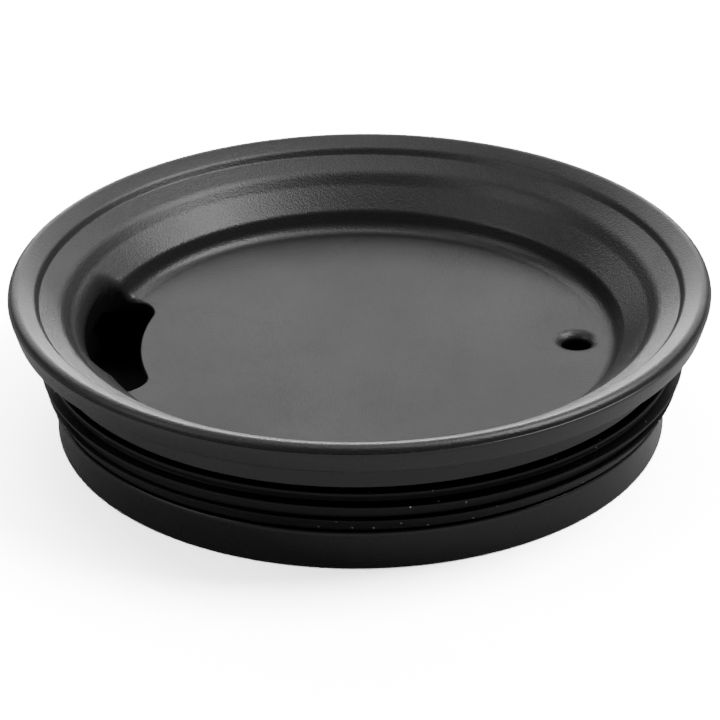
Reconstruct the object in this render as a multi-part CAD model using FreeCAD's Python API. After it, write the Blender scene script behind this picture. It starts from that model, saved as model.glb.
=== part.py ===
"""Press-in lid for an insulated drinking tumbler: one moulded body and a finned sealing ring.

Millimetres, +Z up. The lid stands on its skirt: z = 0 is the skirt's bottom face, and the Z axis is
the axis of the rim. The drink opening lies towards -X and the vent hole towards +X.
"""
import FreeCAD, Part
import math
import os

Vec = FreeCAD.Vector

# ---- lip: the rounded rim that rests on the tumbler's mouth --------------------------------------
lid_height = 19.95          # skirt bottom to lip crest
lip_outer_r = 45.0          # widest radius of the lid
lip_width = 3.4             # from the inner shoulder to the widest point, measured along a radius
lip_depth = 3.65            # crest to the flat underside that rests on the mouth
lip_crest_round = 1.05      # radius of the crest, which runs on into the outer face
lip_top_slope = 25.0        # degrees that the lip's top falls inwards from the crest
lip_inner_round = 1.2       # radius of the lip's inner shoulder
lip_face_lean = 17.0        # degrees that the outer face leans in towards its lower edge
lip_edge_round = 0.3        # rounding of that lower edge

# ---- dish: the sunk top -------------------------------------------------------------------------
dish_depth = 9.55           # lip crest down to the floor
floor_thickness = 1.5
foot_height = 2.6           # steep step between the floor and the dish wall
foot_slope = 70.0           # degrees from horizontal
foot_fillet = 2.0           # between the floor and the step
foot_top_round = 1.2        # between the step and the dish wall
drop_slope = 55.0           # degrees, the short step down from the lip's inner shoulder
drop_height = 0.8
drop_fillet = 0.6           # between that step and the ledge below it
ledge_slope = 25.0          # degrees, the wall's shallow ledge
ledge_width = 2.74          # radial width of the ledge
wall_mid_slope = 49.0       # degrees, the steeper stretch below the ledge
wall_mid_width = 1.22       # radial width of the steeper stretch
wall_slope = 38.0           # degrees, from there down to the step
wall_blend = 3.0            # radius that blends the wall's stretches

# ---- neck, seal groove, land and skirt: the plug that enters the mouth ---------------------------
lip_overhang = 4.7          # neck surface out to the lid's widest radius
neck_height = 4.35          # lip's underside down to the roof of the groove
neck_proud = 0.4            # how far the neck stands out from the land
neck_fillet = 1.0           # neck to the lip's underside
neck_edge_round = 0.15      # neck to the groove's roof
groove_height = 6.45
groove_depth = 1.3          # land surface in to the groove's floor
land_height = 0.65          # narrow ledge below the groove that carries the gasket
land_proud = 0.5            # how far the land stands out from the skirt
land_round = 0.3            # land's upper edge
land_edge_round = 0.1       # land's lower edge
skirt_wall = 2.4
skirt_bottom_round = 0.4
skirt_top_fillet = 0.5      # skirt's inner face to the underside's slope
step_wall = 1.9             # radial thickness behind the dish's step, seen from below
underside_fillet = 1.0      # slope to the floor's underside

# ---- gasket -------------------------------------------------------------------------------------
gasket_top_gap = 0.6        # groove roof down to the gasket's top
gasket_web = 1.6            # radial thickness of the ring between its fins
gasket_tip_round = 0.12     # outer edges of the rib, the fin and the band
gasket_root_round = 0.2     # where they grow out of the web
rib_reach = 0.5             # top rib, past the web
rib_height = 0.45
rib_flare = 0.15            # extra height of the rib at its root
fin_reach = 1.3             # middle fin, past the web
fin_tip = 0.35
fin_root = 0.75
fin_drop = 1.65             # gasket's top down to the middle of the fin
band_reach = 0.8            # bottom band's top edge, past the web
band_height = 2.2           # gasket's bottom up to that edge
band_rise = 0.2             # band's top face rises this much towards the web
band_taper = 1.1            # how far the band's face leans in towards its bottom
band_foot = 0.45            # height of the band's bottom edge above the gasket's bottom
seat_width = 0.6            # flat width on which the gasket's bottom rests

# ---- drink opening and vent ---------------------------------------------------------------------
slot_width = 7.0
slot_rim_gap = 9.6          # slot's outer edge in from the lid's widest radius
slot_half_angle = 16.5      # degrees from the lid's centre line to the centre of each round end
slot_edge_round = 0.35
vent_r = 1.9
vent_mouth_r = 2.6
vent_mouth_depth = 0.45
vent_dimple_r = 3.4
vent_dimple_depth = 0.2
vent_edge_gap = 4.95        # vent's axis in from the foot of the step

cut_clear = 1.0             # how far cutting tools run past the faces that they cut

# ---- sizes that follow from the ones above -------------------------------------------------------
crest_r = lip_outer_r - lip_crest_round
crest_z = lid_height - lip_crest_round
lip_under_z = lid_height - lip_depth
floor_z = lid_height - dish_depth
underside_z = floor_z - floor_thickness
neck_r = lip_outer_r - lip_overhang
land_r = neck_r - neck_proud
groove_r = land_r - groove_depth
skirt_outer_r = land_r - land_proud
skirt_inner_r = skirt_outer_r - skirt_wall
groove_roof = lip_under_z - neck_height
land_top = groove_roof - groove_height
land_bottom = land_top - land_height
gasket_bottom = land_top
gasket_top = groove_roof - gasket_top_gap
web_r = groove_r + gasket_web
slot_outer_r = lip_outer_r - slot_rim_gap
slot_inner_r = slot_outer_r - slot_width


def tan_deg(angle):
    return math.tan(math.radians(angle))


def rounded_outline(corners):
    """Closed face in the XZ plane from (r, z, rounding) corners, each rounded by a tangent arc."""
    edges = []
    starts = []
    ends = []
    count = len(corners)
    for i, (r, z, rounding) in enumerate(corners):
        here = Vec(r, 0, z)
        before = Vec(corners[i - 1][0], 0, corners[i - 1][1])
        after = Vec(corners[(i + 1) % count][0], 0, corners[(i + 1) % count][1])
        back = (before - here).normalize()
        ahead = (after - here).normalize()
        if rounding == 0:
            starts.append(here)
            ends.append(here)
            continue
        half = math.acos(back.dot(ahead)) / 2
        reach = rounding / math.tan(half)
        middle = (back + ahead).normalize()
        centre = here + middle * (rounding / math.sin(half))
        starts.append(here + back * reach)
        ends.append(here + ahead * reach)
        edges.append(Part.Arc(starts[i], centre - middle * rounding, ends[i]).toShape())
    for i in range(count):
        start = ends[i]
        end = starts[(i + 1) % count]
        if start.distanceToPoint(end) > 1e-6:
            edges.append(Part.LineSegment(start, end).toShape())
    return Part.Face(Part.Wire(Part.__sortEdges__(edges)))


def turned(corners):
    """Solid of revolution about Z of a rounded outline."""
    return rounded_outline(corners).revolve(Vec(0, 0, 0), Vec(0, 0, 1), 360)


def lip_top_z(r):
    """Height at radius r of the lip's top, which is tangent to the crest's arc."""
    slope = math.radians(lip_top_slope)
    return crest_z + (lip_crest_round + (r - crest_r) * math.sin(slope)) / math.cos(slope)


def lip_face_r(z):
    """Radius at height z of the leaning outer face, which is tangent to the crest's arc."""
    lean = math.radians(lip_face_lean)
    return crest_r + (lip_crest_round + (z - crest_z) * math.sin(lean)) / math.cos(lean)


def crest_corner():
    """Where the lip's top and its outer face would meet if the crest were sharp."""
    slope = math.radians(lip_top_slope)
    lean = math.radians(lip_face_lean)
    scale = lip_crest_round / math.cos(slope + lean)
    return (crest_r + scale * (math.cos(slope) + math.sin(lean)),
            crest_z + scale * (math.cos(lean) + math.sin(slope)), lip_crest_round)


def dish_corners():
    """The dish from the floor's outer edge up to the lip's inner shoulder."""
    shoulder_r = lip_outer_r - lip_width
    shoulder_z = lip_top_z(shoulder_r)
    drop_r = shoulder_r - drop_height / tan_deg(drop_slope)
    drop_z = shoulder_z - drop_height
    ledge_r = drop_r - ledge_width
    ledge_z = drop_z - ledge_width * tan_deg(ledge_slope)
    wall_r = ledge_r - wall_mid_width
    wall_z = ledge_z - wall_mid_width * tan_deg(wall_mid_slope)
    step_z = floor_z + foot_height
    step_r = wall_r - (wall_z - step_z) / tan_deg(wall_slope)
    return [
        (step_r - foot_height / tan_deg(foot_slope), floor_z, foot_fillet),
        (step_r, step_z, foot_top_round),
        (wall_r, wall_z, wall_blend),
        (ledge_r, ledge_z, wall_blend),
        (drop_r, drop_z, drop_fillet),
        (shoulder_r, shoulder_z, lip_inner_round),
    ]


def body_solid():
    """Lip, dish, neck, groove, land and skirt as one turned moulding."""
    dish = dish_corners()
    step_back_r = dish[0][0] + step_wall
    step_back_z = underside_z + (skirt_inner_r - step_back_r) * tan_deg(wall_mid_slope)
    corners = [(0, floor_z, 0)] + dish + [
        crest_corner(),
        (lip_face_r(lip_under_z), lip_under_z, lip_edge_round),
        (neck_r, lip_under_z, neck_fillet),
        (neck_r, groove_roof, neck_edge_round),
        (groove_r, groove_roof, 0),
        (groove_r, land_top, 0),
        (land_r, land_top, land_round),
        (land_r, land_bottom, land_edge_round),
        (skirt_outer_r, land_bottom, 0),
        (skirt_outer_r, 0, skirt_bottom_round),
        (skirt_inner_r, 0, skirt_bottom_round),
        (skirt_inner_r, step_back_z, skirt_top_fillet),
        (step_back_r, underside_z, underside_fillet),
        (0, underside_z, 0),
    ]
    return turned(corners)


def kidney(inner_r, outer_r, half_angle, low, high):
    """Upright prism with a kidney outline about the Z axis, centred on -X, with full-round ends."""
    end_r = (outer_r - inner_r) / 2
    mid_r = (outer_r + inner_r) / 2

    def at(radius, angle):
        turn = math.radians(180 + angle)
        return Vec(radius * math.cos(turn), radius * math.sin(turn), low)

    def end_tip(sign):
        turn = math.radians(180 + sign * half_angle)
        along = Vec(-math.sin(turn), math.cos(turn), 0)
        return at(mid_r, sign * half_angle) + along * (sign * end_r)

    edges = [
        Part.Arc(at(inner_r, -half_angle), at(inner_r, 0), at(inner_r, half_angle)).toShape(),
        Part.Arc(at(inner_r, half_angle), end_tip(1), at(outer_r, half_angle)).toShape(),
        Part.Arc(at(outer_r, half_angle), at(outer_r, 0), at(outer_r, -half_angle)).toShape(),
        Part.Arc(at(outer_r, -half_angle), end_tip(-1), at(inner_r, -half_angle)).toShape(),
    ]
    return Part.Face(Part.Wire(edges)).extrude(Vec(0, 0, high - low))


def vent_cutter():
    """Hole, flared mouth and shallow dimple of the vent, about its own axis."""
    up = Vec(0, 0, 1)
    axis = Vec(dish_corners()[0][0] - vent_edge_gap, 0, 0)
    through = Part.makeCylinder(vent_r, dish_depth, axis + up * (underside_z - cut_clear), up)
    flare = Part.makeCone(vent_r, vent_mouth_r, vent_mouth_depth,
                          axis + up * (floor_z - vent_mouth_depth), up)
    ball_r = (vent_dimple_r ** 2 + vent_dimple_depth ** 2) / (2 * vent_dimple_depth)
    ball = Part.makeSphere(ball_r, axis + up * (floor_z + ball_r - vent_dimple_depth))
    below_floor = Part.makeCylinder(ball_r, floor_thickness, axis + up * underside_z, up)
    return through.fuse([flare, ball.common(below_floor)])


def slot_rim_edges(body, slot):
    """Edges where the slot's upright wall meets the dish's floor, step and wall."""
    slot_wall = slot.Shells[0]
    found = []
    for edge in body.Edges:
        middle_at = (edge.FirstParameter + edge.LastParameter) / 2
        middle = edge.valueAt(middle_at)
        upright = abs(edge.tangentAt(middle_at).z) > 0.999
        on_wall = slot_wall.distToShape(Part.Vertex(middle))[0] < 1e-4
        if on_wall and not upright and middle.z > floor_z - 0.01:
            found.append(edge)
    return found


def make_lid_body():
    body = body_solid()
    slot = kidney(slot_inner_r, slot_outer_r, slot_half_angle, underside_z - cut_clear, lid_height)
    body = body.cut(slot)
    body = body.makeFillet(slot_edge_round, slot_rim_edges(body, slot))
    return body.cut(vent_cutter())


def make_gasket():
    """Ring with a top rib, one long fin and a tapered bottom band, seated in the groove."""
    fin_z = gasket_top - fin_drop
    band_z = gasket_bottom + band_height
    rib_z = gasket_top - rib_height
    corners = [
        (groove_r, gasket_bottom, 0),
        (groove_r + seat_width, gasket_bottom, 0),
        (web_r + band_reach - band_taper, gasket_bottom + band_foot, gasket_tip_round),
        (web_r + band_reach, band_z, gasket_tip_round),
        (web_r, band_z + band_rise, gasket_root_round),
        (web_r, fin_z - fin_root / 2, gasket_root_round),
        (web_r + fin_reach, fin_z - fin_tip / 2, gasket_tip_round),
        (web_r + fin_reach, fin_z + fin_tip / 2, gasket_tip_round),
        (web_r, fin_z + fin_root / 2, gasket_root_round),
        (web_r, rib_z - rib_flare, gasket_root_round),
        (web_r + rib_reach, rib_z, gasket_tip_round),
        (web_r + rib_reach, gasket_top, gasket_tip_round),
        (groove_r, gasket_top, 0),
    ]
    return turned(corners)


def save(name, shape):
    assert shape.isValid(), name
    shape.exportStep("parts/" + name + ".step")
    box = shape.optimalBoundingBox()
    print(name, "solids", len(shape.Solids), "volume %.1f mm3" % shape.Volume,
          "z %.2f to %.2f" % (box.ZMin, box.ZMax), "width %.2f" % box.XLength)


def main():
    os.makedirs("parts", exist_ok=True)
    save("lid_body", make_lid_body())
    save("gasket", make_gasket())


main()
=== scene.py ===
# %% [markdown]
# # A press-in lid for a drinking tumbler
# The real lid is one black plastic moulding with a black silicone seal stretched around its plug. The
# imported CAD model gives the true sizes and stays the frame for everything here. This lesson makes a
# finer surface for both parts, then their finishes, the table and the lights. First the frame is
# loaded, and its box is kept, because the finished lid may not outgrow it.

# %% Load the frame
import math

import bmesh
import bpy
import numpy as np
from mathutils import Matrix, Vector


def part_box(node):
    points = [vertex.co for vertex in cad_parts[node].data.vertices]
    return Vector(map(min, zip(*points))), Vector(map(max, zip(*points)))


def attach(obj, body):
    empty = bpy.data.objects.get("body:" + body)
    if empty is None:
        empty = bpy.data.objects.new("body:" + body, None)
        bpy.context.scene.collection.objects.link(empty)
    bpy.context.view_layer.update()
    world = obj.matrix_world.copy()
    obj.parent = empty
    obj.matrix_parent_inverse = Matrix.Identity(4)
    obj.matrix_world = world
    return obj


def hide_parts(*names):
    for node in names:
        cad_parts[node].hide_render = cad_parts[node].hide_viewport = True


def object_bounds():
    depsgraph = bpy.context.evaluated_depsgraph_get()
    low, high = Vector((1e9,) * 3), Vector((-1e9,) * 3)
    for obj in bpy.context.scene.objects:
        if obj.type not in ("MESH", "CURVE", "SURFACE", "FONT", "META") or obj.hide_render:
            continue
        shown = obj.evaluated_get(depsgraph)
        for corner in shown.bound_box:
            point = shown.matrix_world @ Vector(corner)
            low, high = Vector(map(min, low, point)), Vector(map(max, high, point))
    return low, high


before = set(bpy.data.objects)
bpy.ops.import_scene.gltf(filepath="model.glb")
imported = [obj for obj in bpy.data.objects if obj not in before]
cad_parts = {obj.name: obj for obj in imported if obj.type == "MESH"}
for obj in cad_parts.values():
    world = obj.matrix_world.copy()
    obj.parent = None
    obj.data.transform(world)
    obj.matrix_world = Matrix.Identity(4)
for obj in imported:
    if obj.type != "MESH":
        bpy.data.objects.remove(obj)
cad_low, cad_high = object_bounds()
MM = 0.001
print("CAD box in mm:", [round(v / MM, 2) for v in (*cad_low, *cad_high)])

# %% [markdown]
# ## The camera
# A small product is shot from a distance with a long lens, so that the near and far sides of the rim
# keep nearly the same scale. The camera looks down at the lid at 28 degrees from the front, where the
# drink opening is on the left. Its matrix is built from three axes: right, up, and back towards the
# camera. That is easier to control than three turning angles.

# %% Place the camera
camera_distance = 460 * MM
camera_height_angle = math.radians(28.02)
camera_roll = math.radians(-0.59)
aim = Vector((-0.01, 0, 7.78)) * MM
back_axis = Vector((0, -math.cos(camera_height_angle), math.sin(camera_height_angle)))
up_axis = Vector((0, math.sin(camera_height_angle), math.cos(camera_height_angle)))
lens = bpy.data.cameras.new("camera")
lens.lens = 177.35
lens.sensor_width = 36
camera = bpy.data.objects.new("camera", lens)
bpy.context.scene.collection.objects.link(camera)
turned_axes = Matrix((Vector((1, 0, 0)), up_axis, back_axis)).transposed().to_4x4()
camera.matrix_world = (Matrix.Translation(aim + back_axis * camera_distance) @ turned_axes
                       @ Matrix.Rotation(camera_roll, 4, "Z"))
bpy.context.scene.camera = camera
print("camera at", [round(v, 3) for v in camera.location], "m")

# %% [markdown]
# ## The outline of the moulding
# The lid is a turned shape, so all of it but its two holes comes from one outline: radius across,
# height up. The outline is listed as corners with a rounding each, as on a drawing. Writing out every
# point of every arc by hand would be slow and hard to change, so a small helper swaps each corner for
# points on the arc that is tangent to both of its sides.

# %% Helper: round the corners of an outline
ARC_STEP = math.radians(8)


def rounded(corners):
    """Points (r, z) of an open outline given as (r, z, rounding) corners, all in millimetres."""
    points = []
    for i, (r, z, rounding) in enumerate(corners):
        here = Vector((r, z))
        if rounding == 0 or i == 0 or i == len(corners) - 1:
            points.append(here)
            continue
        back = (Vector(corners[i - 1][:2]) - here).normalized()
        ahead = (Vector(corners[i + 1][:2]) - here).normalized()
        half = back.angle(ahead) / 2
        centre = here + (back + ahead).normalized() * (rounding / math.sin(half))
        first = here + back * (rounding / math.tan(half)) - centre
        last = here + ahead * (rounding / math.tan(half)) - centre
        sweep = math.pi - 2 * half
        steps = max(2, math.ceil(sweep / ARC_STEP))
        for k in range(steps + 1):
            share = k / steps
            points.append(centre + (first * math.sin((1 - share) * sweep)
                                    + last * math.sin(share * sweep)) / math.sin(sweep))
    return points


print("a rounded corner has", len(rounded([(0, 0, 0), (5, 0, 2), (5, 5, 0)])) - 2, "points")

# %% [markdown]
# The lip is the broad rounded rim that stands on the tumbler's mouth. Its top falls gently inwards from
# a narrow crest to a soft shoulder. From there a short drop leads to a ledge, the dish wall slopes down,
# and a small step ends at the floor. The crest is one arc that touches both the top and the outer face,
# so both are written as lines tangent to that arc. Heights and the lip follow the frame's box.

# %% Corners of the lip and the dish
lid_r = cad_high.x / MM
lid_top = cad_high.z / MM
floor_z = lid_top - 9.55
lip_under_z = lid_top - 3.65
crest_round = 1.05
crest = Vector((lid_r - crest_round, lid_top - crest_round))
top_slope = math.radians(25)
lean = math.radians(17)


def lip_top_z(r):
    """Height of the lip's top at radius r, tangent to the crest's arc."""
    return crest.y + (crest_round + (r - crest.x) * math.sin(top_slope)) / math.cos(top_slope)


def lip_face_r(z):
    """Radius of the lip's leaning outer face at height z, tangent to the same arc."""
    return crest.x + (crest_round + (z - crest.y) * math.sin(lean)) / math.cos(lean)


sharp = crest_round / math.cos(top_slope + lean)
dish_corners = [
    (0, floor_z, 0),
    (32.96, floor_z, 2.0),
    (33.91, floor_z + 2.6, 1.2),
    (37.08, floor_z + 5.08, 3.0),
    (38.30, floor_z + 6.48, 3.0),
    (41.04, lip_top_z(41.6) - 0.8, 0.6),
]
lip_corners = [
    (41.6, lip_top_z(41.6), 1.2),
    (crest.x + sharp * (math.cos(top_slope) + math.sin(lean)),
     crest.y + sharp * (math.cos(lean) + math.sin(top_slope)), crest_round),
    (lip_face_r(lip_under_z), lip_under_z, 0.3),
]
print("floor at", round(floor_z, 2), "mm, lip underside at", round(lip_under_z, 2), "mm")

# %% [markdown]
# Below the lip comes the plug: a neck, the groove that holds the seal, a narrow land that the seal
# stands on, and the skirt. The seal fills the groove from its floor, so the groove's height and floor
# come from the box of the CAD seal.

# %% Corners of the plug and the underside
seal_low, seal_high = (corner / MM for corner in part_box("gasket"))
groove_r = 38.6
neck_r = 40.3
land_r = 39.9
skirt_r = 39.4
skirt_inner_r = 37.0
under_z = floor_z - 1.5
plug_corners = [
    (neck_r, lip_under_z, 1.0),
    (neck_r, seal_high.z + 0.6, 0.15),
    (groove_r, seal_high.z + 0.6, 0.1),
    (groove_r, seal_low.z, 0.1),
    (land_r, seal_low.z, 0.3),
    (land_r, seal_low.z - 0.65, 0.1),
    (skirt_r, seal_low.z - 0.65, 0.1),
    (skirt_r, 0, 0.4),
]
under_corners = [
    (skirt_inner_r, 0, 0.4),
    (skirt_inner_r, under_z + 2.48, 0.5),
    (34.84, under_z, 1.0),
    (0, under_z, 0),
]
print("groove from", round(seal_low.z, 2), "to", round(seal_high.z + 0.6, 2), "mm")

# %% [markdown]
# ## Turning the outline
# A vertex is pushed along the outline, one extrusion per point, and the line is then spun about the
# lid's axis. The same could be done with a Screw modifier. The spin gives the mesh at once, and its
# doubled points at the seam and on the axis are merged here, before the faces are turned outwards.

# %% Helpers: draw a line and spin it
TURN_STEPS = 240
MERGE = 1e-6


def only(piece=None):
    """Deselects everything, then selects one piece and makes it active."""
    bpy.ops.object.select_all(action="DESELECT")
    if piece:
        piece.select_set(True)
        bpy.context.view_layer.objects.active = piece


def trace(name, points):
    """A line of edges through (r, z) points, made by extruding one vertex again and again."""
    only()
    bpy.ops.mesh.primitive_plane_add(size=MM)
    piece = bpy.context.object
    piece.name = piece.data.name = name
    bpy.ops.object.mode_set(mode="EDIT")
    bpy.ops.mesh.select_mode(type="VERT")
    bpy.ops.mesh.merge(type="CENTER")
    bpy.ops.transform.translate(value=(points[0][0] * MM, 0, points[0][1] * MM))
    for before, after in zip(points, points[1:]):
        step = ((after[0] - before[0]) * MM, 0, (after[1] - before[1]) * MM)
        bpy.ops.mesh.extrude_region_move(TRANSFORM_OT_translate={"value": step})
    bpy.ops.object.mode_set(mode="OBJECT")
    return piece


def spin_round(piece):
    """Turns the line about Z into a closed surface with its faces outwards."""
    only(piece)
    bpy.ops.object.mode_set(mode="EDIT")
    bpy.ops.mesh.select_all(action="SELECT")
    bpy.ops.mesh.spin(steps=TURN_STEPS, angle=2 * math.pi, center=(0, 0, 0), axis=(0, 0, 1))
    bpy.ops.mesh.select_all(action="SELECT")
    bpy.ops.mesh.remove_doubles(threshold=MERGE)
    bpy.ops.mesh.normals_make_consistent(inside=False)
    bpy.ops.object.mode_set(mode="OBJECT")


# %% Turn the moulding
top_line = rounded(dish_corners + lip_corners[:1])
outline = rounded(dish_corners + lip_corners + plug_corners + under_corners)
shell = trace("lid_shell", outline)
spin_round(shell)
print("moulding:", len(outline), "outline points,", len(shell.data.polygons), "faces")

# %% [markdown]
# ## The parting line
# The two halves of the mould meet on the lip's crest, a little above its widest ring, and leave a
# hairline there. The top half is grained and the lower half is smooth, so the line also divides the two
# finishes. The ring of edges nearest to it gets a narrow bevel, and its middle is drawn inwards.

# %% Helper: select parts of a mesh by their place
def pick(kind, test):
    """In edit mode, selects the vertices, edges or faces for which test(item) is true."""
    bpy.ops.mesh.select_mode(type={"verts": "VERT", "edges": "EDGE", "faces": "FACE"}[kind])
    bpy.ops.mesh.select_all(action="DESELECT")
    mesh = bpy.context.object.data
    body = bmesh.from_edit_mesh(mesh)
    chosen = [item for item in getattr(body, kind) if test(item)]
    for item in chosen:
        item.select_set(True)
    body.select_flush_mode()
    bmesh.update_edit_mesh(mesh)
    return len(chosen)


def radius(co):
    """Distance from the lid's axis, in millimetres."""
    return math.hypot(co.x, co.y) / MM


# %% Cut the hairline into the crest
line_turn = math.radians(12)
line_z = crest.y + crest_round * math.sin(line_turn)
ring_z = min((p[1] for p in outline if p[0] > lid_r - 1), key=lambda z: abs(z - line_z))
hairline_width = 0.11
hairline_depth = 0.07


def on_ring(edge):
    return all(radius(v.co) > lid_r - 1 and abs(v.co.z / MM - ring_z) < 0.001 for v in edge.verts)


only(shell)
bpy.ops.object.mode_set(mode="EDIT")
ring_edges = pick("edges", on_ring)
bpy.ops.mesh.bevel(offset=hairline_width / 2 * MM, segments=2, affect="EDGES")
pick("edges", on_ring)
inwards = 1 - hairline_depth / lid_r
bpy.ops.transform.resize(value=(inwards, inwards, 1), center_override=(0, 0, ring_z * MM))
bpy.ops.object.mode_set(mode="OBJECT")
print("hairline at z", round(ring_z, 2), "mm over", ring_edges, "edges")

# %% [markdown]
# ## The drink opening
# The opening is a bent slot with round ends. Its rim is sharp where it leaves the flat floor and soft
# where it eats into the sloping wall, so one bevel width can't make it. Instead a larger hole is cut
# with a Boolean, out to where the rim's rounding starts, and the rim is then built inwards row by row.
# Each point's place comes from the slot's centre arc: out along its normal, and down as the row turns.

# %% Helpers: the slot's centre arc and the surfaces it goes through
slot_mid_r = lid_r - 13.1
slot_half_width = 3.5
slot_half_angle = math.radians(16.5)
soft_rim = 1.3
crisp_rim = 0.3
soft_from_r = 30.6
soft_within = 3.4
top_r, top_z = zip(*((p[0], p[1]) for p in top_line))
under_line = rounded([plug_corners[-1]] + under_corners)[::-1]
under_line = [p for p in under_line if p[0] < skirt_inner_r - 0.01]
under_r, under_height = zip(*((p[0], p[1]) for p in under_line))


def arc_frame(x, y):
    """Nearest point of the slot's centre arc to (x, y), and the direction from it to (x, y)."""
    angle = max(-slot_half_angle, min(slot_half_angle, math.atan2(y, -x)))
    centre = Vector((-slot_mid_r * math.cos(angle), slot_mid_r * math.sin(angle)))
    return centre, (Vector((x, y)) - centre).normalized()


def rim_width(wall_point):
    """How far the rim's rounding reaches out from the slot's wall: crisp on the floor, soft uphill."""
    share = max(0, min(1, (wall_point.length - soft_from_r) / soft_within))
    return crisp_rim + (soft_rim - crisp_rim) * share * share * (3 - 2 * share)


def top_height(r):
    return float(np.interp(r, top_r, top_z))


def bottom_height(r):
    return float(np.interp(r, under_r, under_height))


print("dish height at r 30 and 36:", round(top_height(30), 2), round(top_height(36), 2), "mm")

# %% Helper: cut an upright hole through a piece
def cut_hole(piece, name, ring):
    """Subtracts the prism over a ring of (x, y) points, from below the floor to the lip's top."""
    only()
    bpy.ops.mesh.primitive_circle_add(vertices=len(ring), radius=MM, fill_type="NGON")
    cutter = bpy.context.object
    for vertex, (x, y) in zip(cutter.data.vertices, ring):
        vertex.co = Vector((x, y, under_z - 1)) * MM
    bpy.ops.object.mode_set(mode="EDIT")
    bpy.ops.mesh.select_all(action="SELECT")
    up = (0, 0, (lid_top - under_z + 1) * MM)
    bpy.ops.mesh.extrude_region_move(TRANSFORM_OT_translate={"value": up})
    bpy.ops.mesh.select_all(action="SELECT")
    bpy.ops.mesh.normals_make_consistent(inside=False)
    bpy.ops.object.mode_set(mode="OBJECT")
    only(piece)
    cut = piece.modifiers.new(name, "BOOLEAN")
    cut.operation = "DIFFERENCE"
    cut.solver = "EXACT"
    cut.object = cutter
    bpy.ops.object.modifier_apply(modifier=cut.name)
    bpy.data.objects.remove(cutter)
    print(name, "cut:", len(piece.data.polygons), "faces")


# %% Cut the opening, out to where its rim starts to round
def heading(angle):
    """Unit direction at an angle from -X, turning towards +Y."""
    return Vector((-math.cos(angle), math.sin(angle)))


ARC_POINTS = 40
END_POINTS = 36
stations = []
for side in (1, -1):
    turn_back = 0 if side > 0 else math.pi
    for k in range(ARC_POINTS):
        angle = side * slot_half_angle * (2 * k / ARC_POINTS - 1)
        stations.append((angle, angle + turn_back))
    for k in range(END_POINTS):
        angle = side * slot_half_angle
        stations.append((angle, angle + turn_back + math.pi * k / END_POINTS))
slot_ring = []
for angle, normal_angle in stations:
    wall = heading(angle) * slot_mid_r + heading(normal_angle) * slot_half_width
    slot_ring.append(wall + heading(normal_angle) * rim_width(wall))
cut_hole(shell, "slot", slot_ring)
print("slot:", round(2 * slot_half_width, 1), "mm wide,",
      round((2 * slot_half_angle * slot_mid_r) + 2 * slot_half_width, 1), "mm along its arc")

# %% [markdown]
# ## The vent hole
# Opposite the drink opening a small hole lets air in. It sits in a shallow dimple with a flared mouth,
# so that drops run back through it. It is cut in the same way, out to the edge of the dimple. Both
# holes are cut before either rim is built, because a Boolean works best on plain surfaces. Then the
# upright walls that the cuts left are deleted, since the rims bring their own.

# %% Cut the vent and open both holes
vent = Vector((27.99, 0))
dimple_r = 3.45
VENT_POINTS = 72
vent_ring = []
for k in range(VENT_POINTS):
    vent_ring.append(vent + heading(2 * math.pi * k / VENT_POINTS) * dimple_r)
cut_hole(shell, "vent", vent_ring)
bpy.ops.object.mode_set(mode="EDIT")
walls = pick("faces", lambda face: abs(face.normal.z) < 0.02
             and radius(face.calc_center_median()) < skirt_inner_r - 0.1)
bpy.ops.mesh.delete(type="FACE")
print(walls, "wall faces deleted")

# %% [markdown]
# ## The rims
# Each open edge is extruded row by row, and each row is put where a rounding of that width would be:
# its points go in towards the wall by the sine of the turn and down by the cosine. The edges on the
# underside get a flat strip and a small rounding, and a bridge joins the last two rows as the wall.

# %% Helpers: grow rows inwards from an open edge, and bridge the last two
def open_edge(side, above):
    """Picks the open edges at -X or +X (side) of the dish's surface (above) or of the underside."""
    def chosen(edge):
        middle = (edge.verts[0].co + edge.verts[1].co) / 2
        r = radius(middle)
        halfway = (top_height(r) + bottom_height(r)) / 2
        return edge.is_boundary and middle.x * side > 0 and (middle.z / MM > halfway) == above
    return pick("edges", chosen)


def grow_rows(rows, place):
    """Extrudes the picked open edge once per row; place(row, x, y) gives each point in mm."""
    mesh = bpy.context.object.data
    for row in rows:
        bpy.ops.mesh.extrude_region()
        body = bmesh.from_edit_mesh(mesh)
        for vertex in body.verts:
            if vertex.select:
                vertex.co = Vector(place(row, vertex.co.x / MM, vertex.co.y / MM)) * MM
        bmesh.update_edit_mesh(mesh)


def close_wall(side):
    """Bridges the two open edges of one hole."""
    pick("edges", lambda edge: edge.is_boundary and edge.verts[0].co.x * side > 0)
    bpy.ops.mesh.bridge_edge_loops()


# %% Build the slot's rim and wall
lower_rim = 0.2
strip_rows = [(share, 0, 0) for share in (0.66, 0.33, 0)]
upper_turns = [math.radians(90 * k / 8) for k in range(1, 9)]
lower_turns = [math.radians(90 * k / 4) for k in range(1, 5)]
lower_rows = strip_rows + [(0, 1 - math.sin(t), 1 - math.cos(t)) for t in lower_turns]


def upper_rim_place(turn, x, y):
    centre, normal = arc_frame(x, y)
    wall = centre + normal * slot_half_width
    width = rim_width(wall)
    point = wall + normal * width * (1 - math.sin(turn))
    return point.x, point.y, top_height(point.length) - width * (1 - math.cos(turn))


def lower_rim_place(row, x, y):
    share, inwards, rise = row
    centre, normal = arc_frame(x, y)
    wall = centre + normal * slot_half_width
    reach = lower_rim + (rim_width(wall) - lower_rim) * share
    if rise > 0:
        reach = lower_rim * inwards
    point = wall + normal * reach
    return point.x, point.y, bottom_height(point.length) + lower_rim * rise


open_edge(-1, above=False)
grow_rows(lower_rows, lower_rim_place)
open_edge(-1, above=True)
grow_rows(upper_turns, upper_rim_place)
close_wall(-1)

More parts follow.
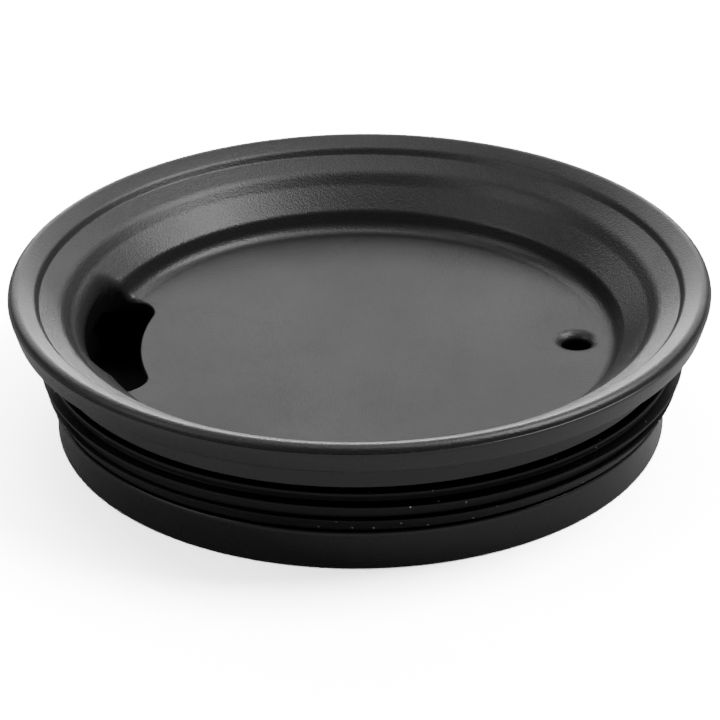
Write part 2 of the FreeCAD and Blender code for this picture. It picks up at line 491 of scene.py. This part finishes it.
# %% Build the vent's mouth and wall
vent_mouth_rows = [(3.2, 0.012), (2.95, 0.045), (2.75, 0.10), (2.58, 0.18), (2.4, 0.30),
                   (2.22, 0.44), (2.07, 0.59), (1.97, 0.74), (1.92, 0.87), (1.9, 1.0)]
vent_lower_rows = [(2.6, 0), (2.05, 0), (1.98, 0.03), (1.92, 0.08), (1.9, 0.15)]


def vent_place(row, x, y):
    outwards = (Vector((x, y)) - vent).normalized()
    point = vent + outwards * row[0]
    return point.x, point.y, row[1]


open_edge(1, above=False)
grow_rows([(r, under_z + rise) for r, rise in vent_lower_rows], vent_place)
open_edge(1, above=True)
grow_rows([(r, floor_z - depth) for r, depth in vent_mouth_rows], vent_place)
close_wall(1)
bpy.ops.mesh.select_all(action="SELECT")
bpy.ops.mesh.normals_make_consistent(inside=False)
open_left = pick("edges", lambda edge: not edge.is_manifold)
bpy.ops.object.mode_set(mode="OBJECT")
print("moulding:", len(shell.data.polygons), "faces, open edges left:", open_left)

# %% [markdown]
# ## The seal
# The seal is one silicone ring with a small rib at the top, a long thin fin in the middle and a broad
# tapered band at the bottom. It is turned like the moulding. A real seal is stretched on by hand, so it
# doesn't run quite true: its outer edges are moved a little to one side and given a slow waver.

# %% Turn the seal
web_r = groove_r + 1.6
fin_r = seal_high.x
fin_z = seal_high.z - 1.65
band_z = seal_low.z + 2.2
rib_z = seal_high.z - 0.45
seal_corners = [
    (groove_r, seal_high.z - 1, 0),
    (groove_r, seal_low.z, 0.1),
    (groove_r + 0.6, seal_low.z, 0.1),
    (web_r - 0.3, seal_low.z + 0.45, 0.12),
    (web_r + 0.8, band_z, 0.12),
    (web_r, band_z + 0.2, 0.2),
    (web_r, fin_z - 0.375, 0.2),
    (fin_r, fin_z - 0.175, 0.12),
    (fin_r, fin_z + 0.175, 0.12),
    (web_r, fin_z + 0.375, 0.2),
    (web_r, rib_z - 0.15, 0.2),
    (web_r + 0.5, rib_z, 0.12),
    (web_r + 0.5, seal_high.z, 0.12),
    (groove_r, seal_high.z, 0.1),
    (groove_r, seal_high.z - 1, 0),
]
seal = trace("seal_ring", rounded(seal_corners))
spin_round(seal)
print("seal:", len(seal.data.polygons), "faces, fin to r", round(fin_r, 2), "mm")

# %% Let the seal sit a little out of true
seal_shift = Vector((0.25, 0, 0)) * MM
waver = 0.05 * MM
for vertex in seal.data.vertices:
    outer_share = max(0, min(1, (radius(vertex.co) - groove_r) / (fin_r - groove_r)))
    around = math.atan2(vertex.co.y, vertex.co.x)
    lift = waver * (math.sin(3 * around + 0.7) + 0.6 * math.sin(7 * around + 2.1))
    vertex.co += seal_shift * outer_share + Vector((0, 0, lift * outer_share))
seal_reach = max(vertex.co.x for vertex in seal.data.vertices) / MM
print("seal reaches", round(seal_reach, 2), "mm towards the vent's side")

# %% [markdown]
# ## The finishes
# The top of a drinking lid is grained: the mould is spark-eroded, which leaves a fine sandy skin that
# glitters softly. The lower half of the mould is left smoother, so the face below the parting line, the
# neck and the skirt are satin. Both are the same black plastic. Every pattern reads Object coordinates,
# in metres, so its scale is real: a grain of a fifth of a millimetre is a noise scale of 5000.

# %% Helpers: nodes in a few words
def finish(name, base, roughness, specular):
    """A new Principled material; returns it, its node tree and the shader node."""
    material = bpy.data.materials.new(name)
    material.use_nodes = True
    tree = material.node_tree
    shader = tree.nodes["Principled BSDF"]
    shader.inputs["Base Color"].default_value = (*base, 1)
    shader.inputs["Roughness"].default_value = roughness
    shader.inputs["Specular IOR Level"].default_value = specular
    return material, tree, shader


def node(tree, kind, inputs=(), **settings):
    """Adds a node, sets its properties, and sets or links its inputs by name."""
    made = tree.nodes.new("ShaderNode" + kind)
    for key, value in settings.items():
        setattr(made, key, value)
    for key, value in dict(inputs).items():
        if isinstance(value, bpy.types.NodeSocket):
            tree.links.new(value, made.inputs[key])
        else:
            made.inputs[key].default_value = value
    return made


def noise(tree, size_mm, detail):
    """Noise on Object coordinates with grains of about size_mm."""
    place = node(tree, "TexCoord").outputs["Object"]
    grains = node(tree, "TexNoise", {"Vector": place, "Scale": 1000 / size_mm, "Detail": detail})
    return grains.outputs["Fac"]


def spread(tree, value, low, high, from_low=0.3, from_high=0.7):
    """Maps a noise value from its middle range to low..high."""
    return node(tree, "MapRange", {"Value": value, "From Min": from_low, "From Max": from_high,
                                   "To Min": low, "To Max": high}).outputs["Result"]


def mix_colours(tree, share, first, second):
    """Mixes two fixed colours by the value that share carries."""
    made = node(tree, "Mix", {"Factor": share}, data_type="RGBA")
    made.inputs[6].default_value = (*first, 1)
    made.inputs[7].default_value = (*second, 1)
    return made.outputs[2]


# %% Grained black plastic
grained, tree, shader = finish("grained_black_plastic", (0.012, 0.0115, 0.013), 0.36, 0.6)
fine_grain = noise(tree, 0.2, 3)
coarse_grain = noise(tree, 0.4, 2)
handled = noise(tree, 14, 3)
both = node(tree, "Math", {0: fine_grain, 1: coarse_grain}, operation="ADD").outputs[0]
bump = node(tree, "Bump", {"Height": both, "Strength": 1.0, "Distance": 0.03 * MM})
tree.links.new(bump.outputs["Normal"], shader.inputs["Normal"])
tree.links.new(spread(tree, handled, 0.33, 0.4), shader.inputs["Roughness"])
pits, peaks = (0.007, 0.0065, 0.008), (0.018, 0.017, 0.0195)
mottled = mix_colours(tree, spread(tree, fine_grain, 0, 1), pits, peaks)
tree.links.new(mottled, shader.inputs["Base Color"])
print("grained plastic:", len(tree.nodes), "nodes")

# %% Satin black plastic
satin, tree, shader = finish("satin_black_plastic", (0.012, 0.012, 0.013), 0.26, 0.6)
skin = noise(tree, 0.5, 3)
handled = noise(tree, 9, 3)
bump = node(tree, "Bump", {"Height": skin, "Strength": 0.25, "Distance": 0.01 * MM})
tree.links.new(bump.outputs["Normal"], shader.inputs["Normal"])
tree.links.new(spread(tree, handled, 0.22, 0.32), shader.inputs["Roughness"])
print("satin plastic:", len(tree.nodes), "nodes")

# %% [markdown]
# Silicone is softer and blacker than the plastic, and it holds lint: white dust specks stick to its
# fins. The specks are the middles of Voronoi cells, and a slow noise gathers them in patches.

# %% Black silicone with lint
rubber_black = (0.004, 0.004, 0.0045)
lint_white = (0.6, 0.6, 0.57)
speck_apart = 1.6
silicone, tree, shader = finish("black_silicone", rubber_black, 0.45, 0.35)
place = node(tree, "TexCoord").outputs["Object"]
dots = node(tree, "TexVoronoi", {"Vector": place, "Scale": 1000 / speck_apart}).outputs["Distance"]
speck = spread(tree, dots, 1, 0, 0.05, 0.09)
patches = spread(tree, noise(tree, 12, 2), 0, 1, 0.44, 0.54)
lint = node(tree, "Math", {0: speck, 1: patches}, operation="MULTIPLY").outputs[0]
dusted = mix_colours(tree, lint, rubber_black, lint_white)
tree.links.new(dusted, shader.inputs["Base Color"])
skin = noise(tree, 0.3, 3)
bump = node(tree, "Bump", {"Height": skin, "Strength": 0.3, "Distance": 0.01 * MM})
tree.links.new(bump.outputs["Normal"], shader.inputs["Normal"])
print("silicone:", len(tree.nodes), "nodes")

# %% Put the finishes on
def is_grained(face):
    r = radius(face.center)
    z = face.center.z / MM
    in_top_half_of_mould = z > ring_z or r < lid_r - 3
    return face.normal.z > 0.05 and z > floor_z - 0.9 and in_top_half_of_mould


shell.data.materials.append(grained)
shell.data.materials.append(satin)
grained_faces = 0
for face in shell.data.polygons:
    face.material_index = 0 if is_grained(face) else 1
    grained_faces += face.material_index == 0
seal.data.materials.append(silicone)
for piece, node_name, slot_name in ((shell, "lid_body", "body_plastic"), (seal, "gasket", "seal_rubber")):
    only(piece)
    bpy.ops.object.shade_smooth_by_angle(angle=math.radians(35))
    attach(piece, "root")
    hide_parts(node_name)
print(grained_faces, "of", len(shell.data.polygons), "faces are grained")

# %% [markdown]
# ## The table
# The lid stands on a plain white table. A table bright enough to look pure white would also flood the
# black plastic with light from below. So the table is far whiter to the camera than to the lid, which
# the Light Path node tells apart. Under the lid, where the drink opening shows it, the table's colour is
# cut to nearly black: painted shade, standing in for the lid's shadow on the table.

# %% The table
only()
bpy.ops.mesh.primitive_plane_add(size=4)
table = bpy.context.object
table.name = "table"
table_white = bpy.data.materials.new("table_white")
table_white.use_nodes = True
tree = table_white.node_tree
tree.nodes.remove(tree.nodes["Principled BSDF"])
seen = node(tree, "LightPath").outputs["Is Camera Ray"]
place = node(tree, "TexCoord").outputs["Object"]
flat = node(tree, "VectorMath", {0: place, 1: (1, 1, 0)}, operation="MULTIPLY").outputs[0]
from_middle = node(tree, "VectorMath", {0: flat}, operation="LENGTH").outputs["Value"]
shaded_r = (skirt_r - 0.5) * MM
outside = node(tree, "Math", {0: from_middle, 1: shaded_r}, operation="GREATER_THAN").outputs[0]
bright = node(tree, "Math", {0: seen, 1: outside}, operation="MULTIPLY").outputs[0]
for_the_lid, for_the_camera = (0.6, 0.6, 0.6), (17, 17, 17)
white = mix_colours(tree, bright, for_the_lid, for_the_camera)
# Inside the skirt the table's colour is cut to 5 percent: painted shade for the dark under the lid.
painted_shade_under_lid = 0.05
painted_shade_inputs = {0: outside, 1: 1 - painted_shade_under_lid, 2: painted_shade_under_lid}
kept = node(tree, "Math", painted_shade_inputs, operation="MULTIPLY_ADD").outputs[0]
colour = node(tree, "VectorMath", {0: white, "Scale": kept}, operation="SCALE").outputs["Vector"]
diffuse = node(tree, "BsdfDiffuse", {"Color": colour})
tree.links.new(diffuse.outputs["BSDF"], tree.nodes["Material Output"].inputs["Surface"])
table.data.materials.append(table_white)
print("table:", round(table.dimensions.x, 1), "m across")

# %% [markdown]
# ## The lights
# Black plastic shows its lights more than its colour, so each light is placed where it should gleam. A
# box at the back lies in the floor and on the lip, and a low strip behind the lid runs along the front
# of the crest. A box high on the right gleams on the wall at the left, and a weaker one does the same
# on the right. All are large and soft. The same could be done with a painted sky, but boxes are easier
# to move one by one.

# %% Helper: a softbox
WATTS_PER_AREA = 4


def softbox(name, turn, height, distance, width, depth, brightness):
    """Area light that faces the lid from turn and height, in degrees; brightness is of its surface."""
    turn = math.radians(turn)
    height = math.radians(height)
    level = math.cos(height)
    away = Vector((level * math.cos(turn), level * math.sin(turn), math.sin(height)))
    light = bpy.data.lights.new(name, "AREA")
    light.shape = "RECTANGLE"
    light.size = width
    light.size_y = depth
    light.energy = brightness * width * depth * WATTS_PER_AREA
    box = bpy.data.objects.new(name, light)
    bpy.context.scene.collection.objects.link(box)
    box.location = Vector((0, 0, floor_z * MM)) + away * distance
    box.rotation_euler = away.to_track_quat("Z", "Y").to_euler()


# %% Place the softboxes and a dim surround
softbox("overhead_box", 90, 82, 0.9, 0.5, 0.5, 1.2)
softbox("right_box", 8, 56, 0.8, 0.45, 0.4, 6.5)
softbox("back_strip", 90, 4, 1.2, 0.6, 0.16, 13.0)
softbox("back_box", 90, 33, 1.2, 1.8, 0.45, 2.0)
softbox("left_box", 193, 45, 0.9, 0.5, 0.5, 1.2)
world = bpy.data.worlds.new("studio")
bpy.context.scene.world = world
world.use_nodes = True
world.node_tree.nodes["Background"].inputs["Color"].default_value = (1, 1, 1, 1)
world.node_tree.nodes["Background"].inputs["Strength"].default_value = 0.16
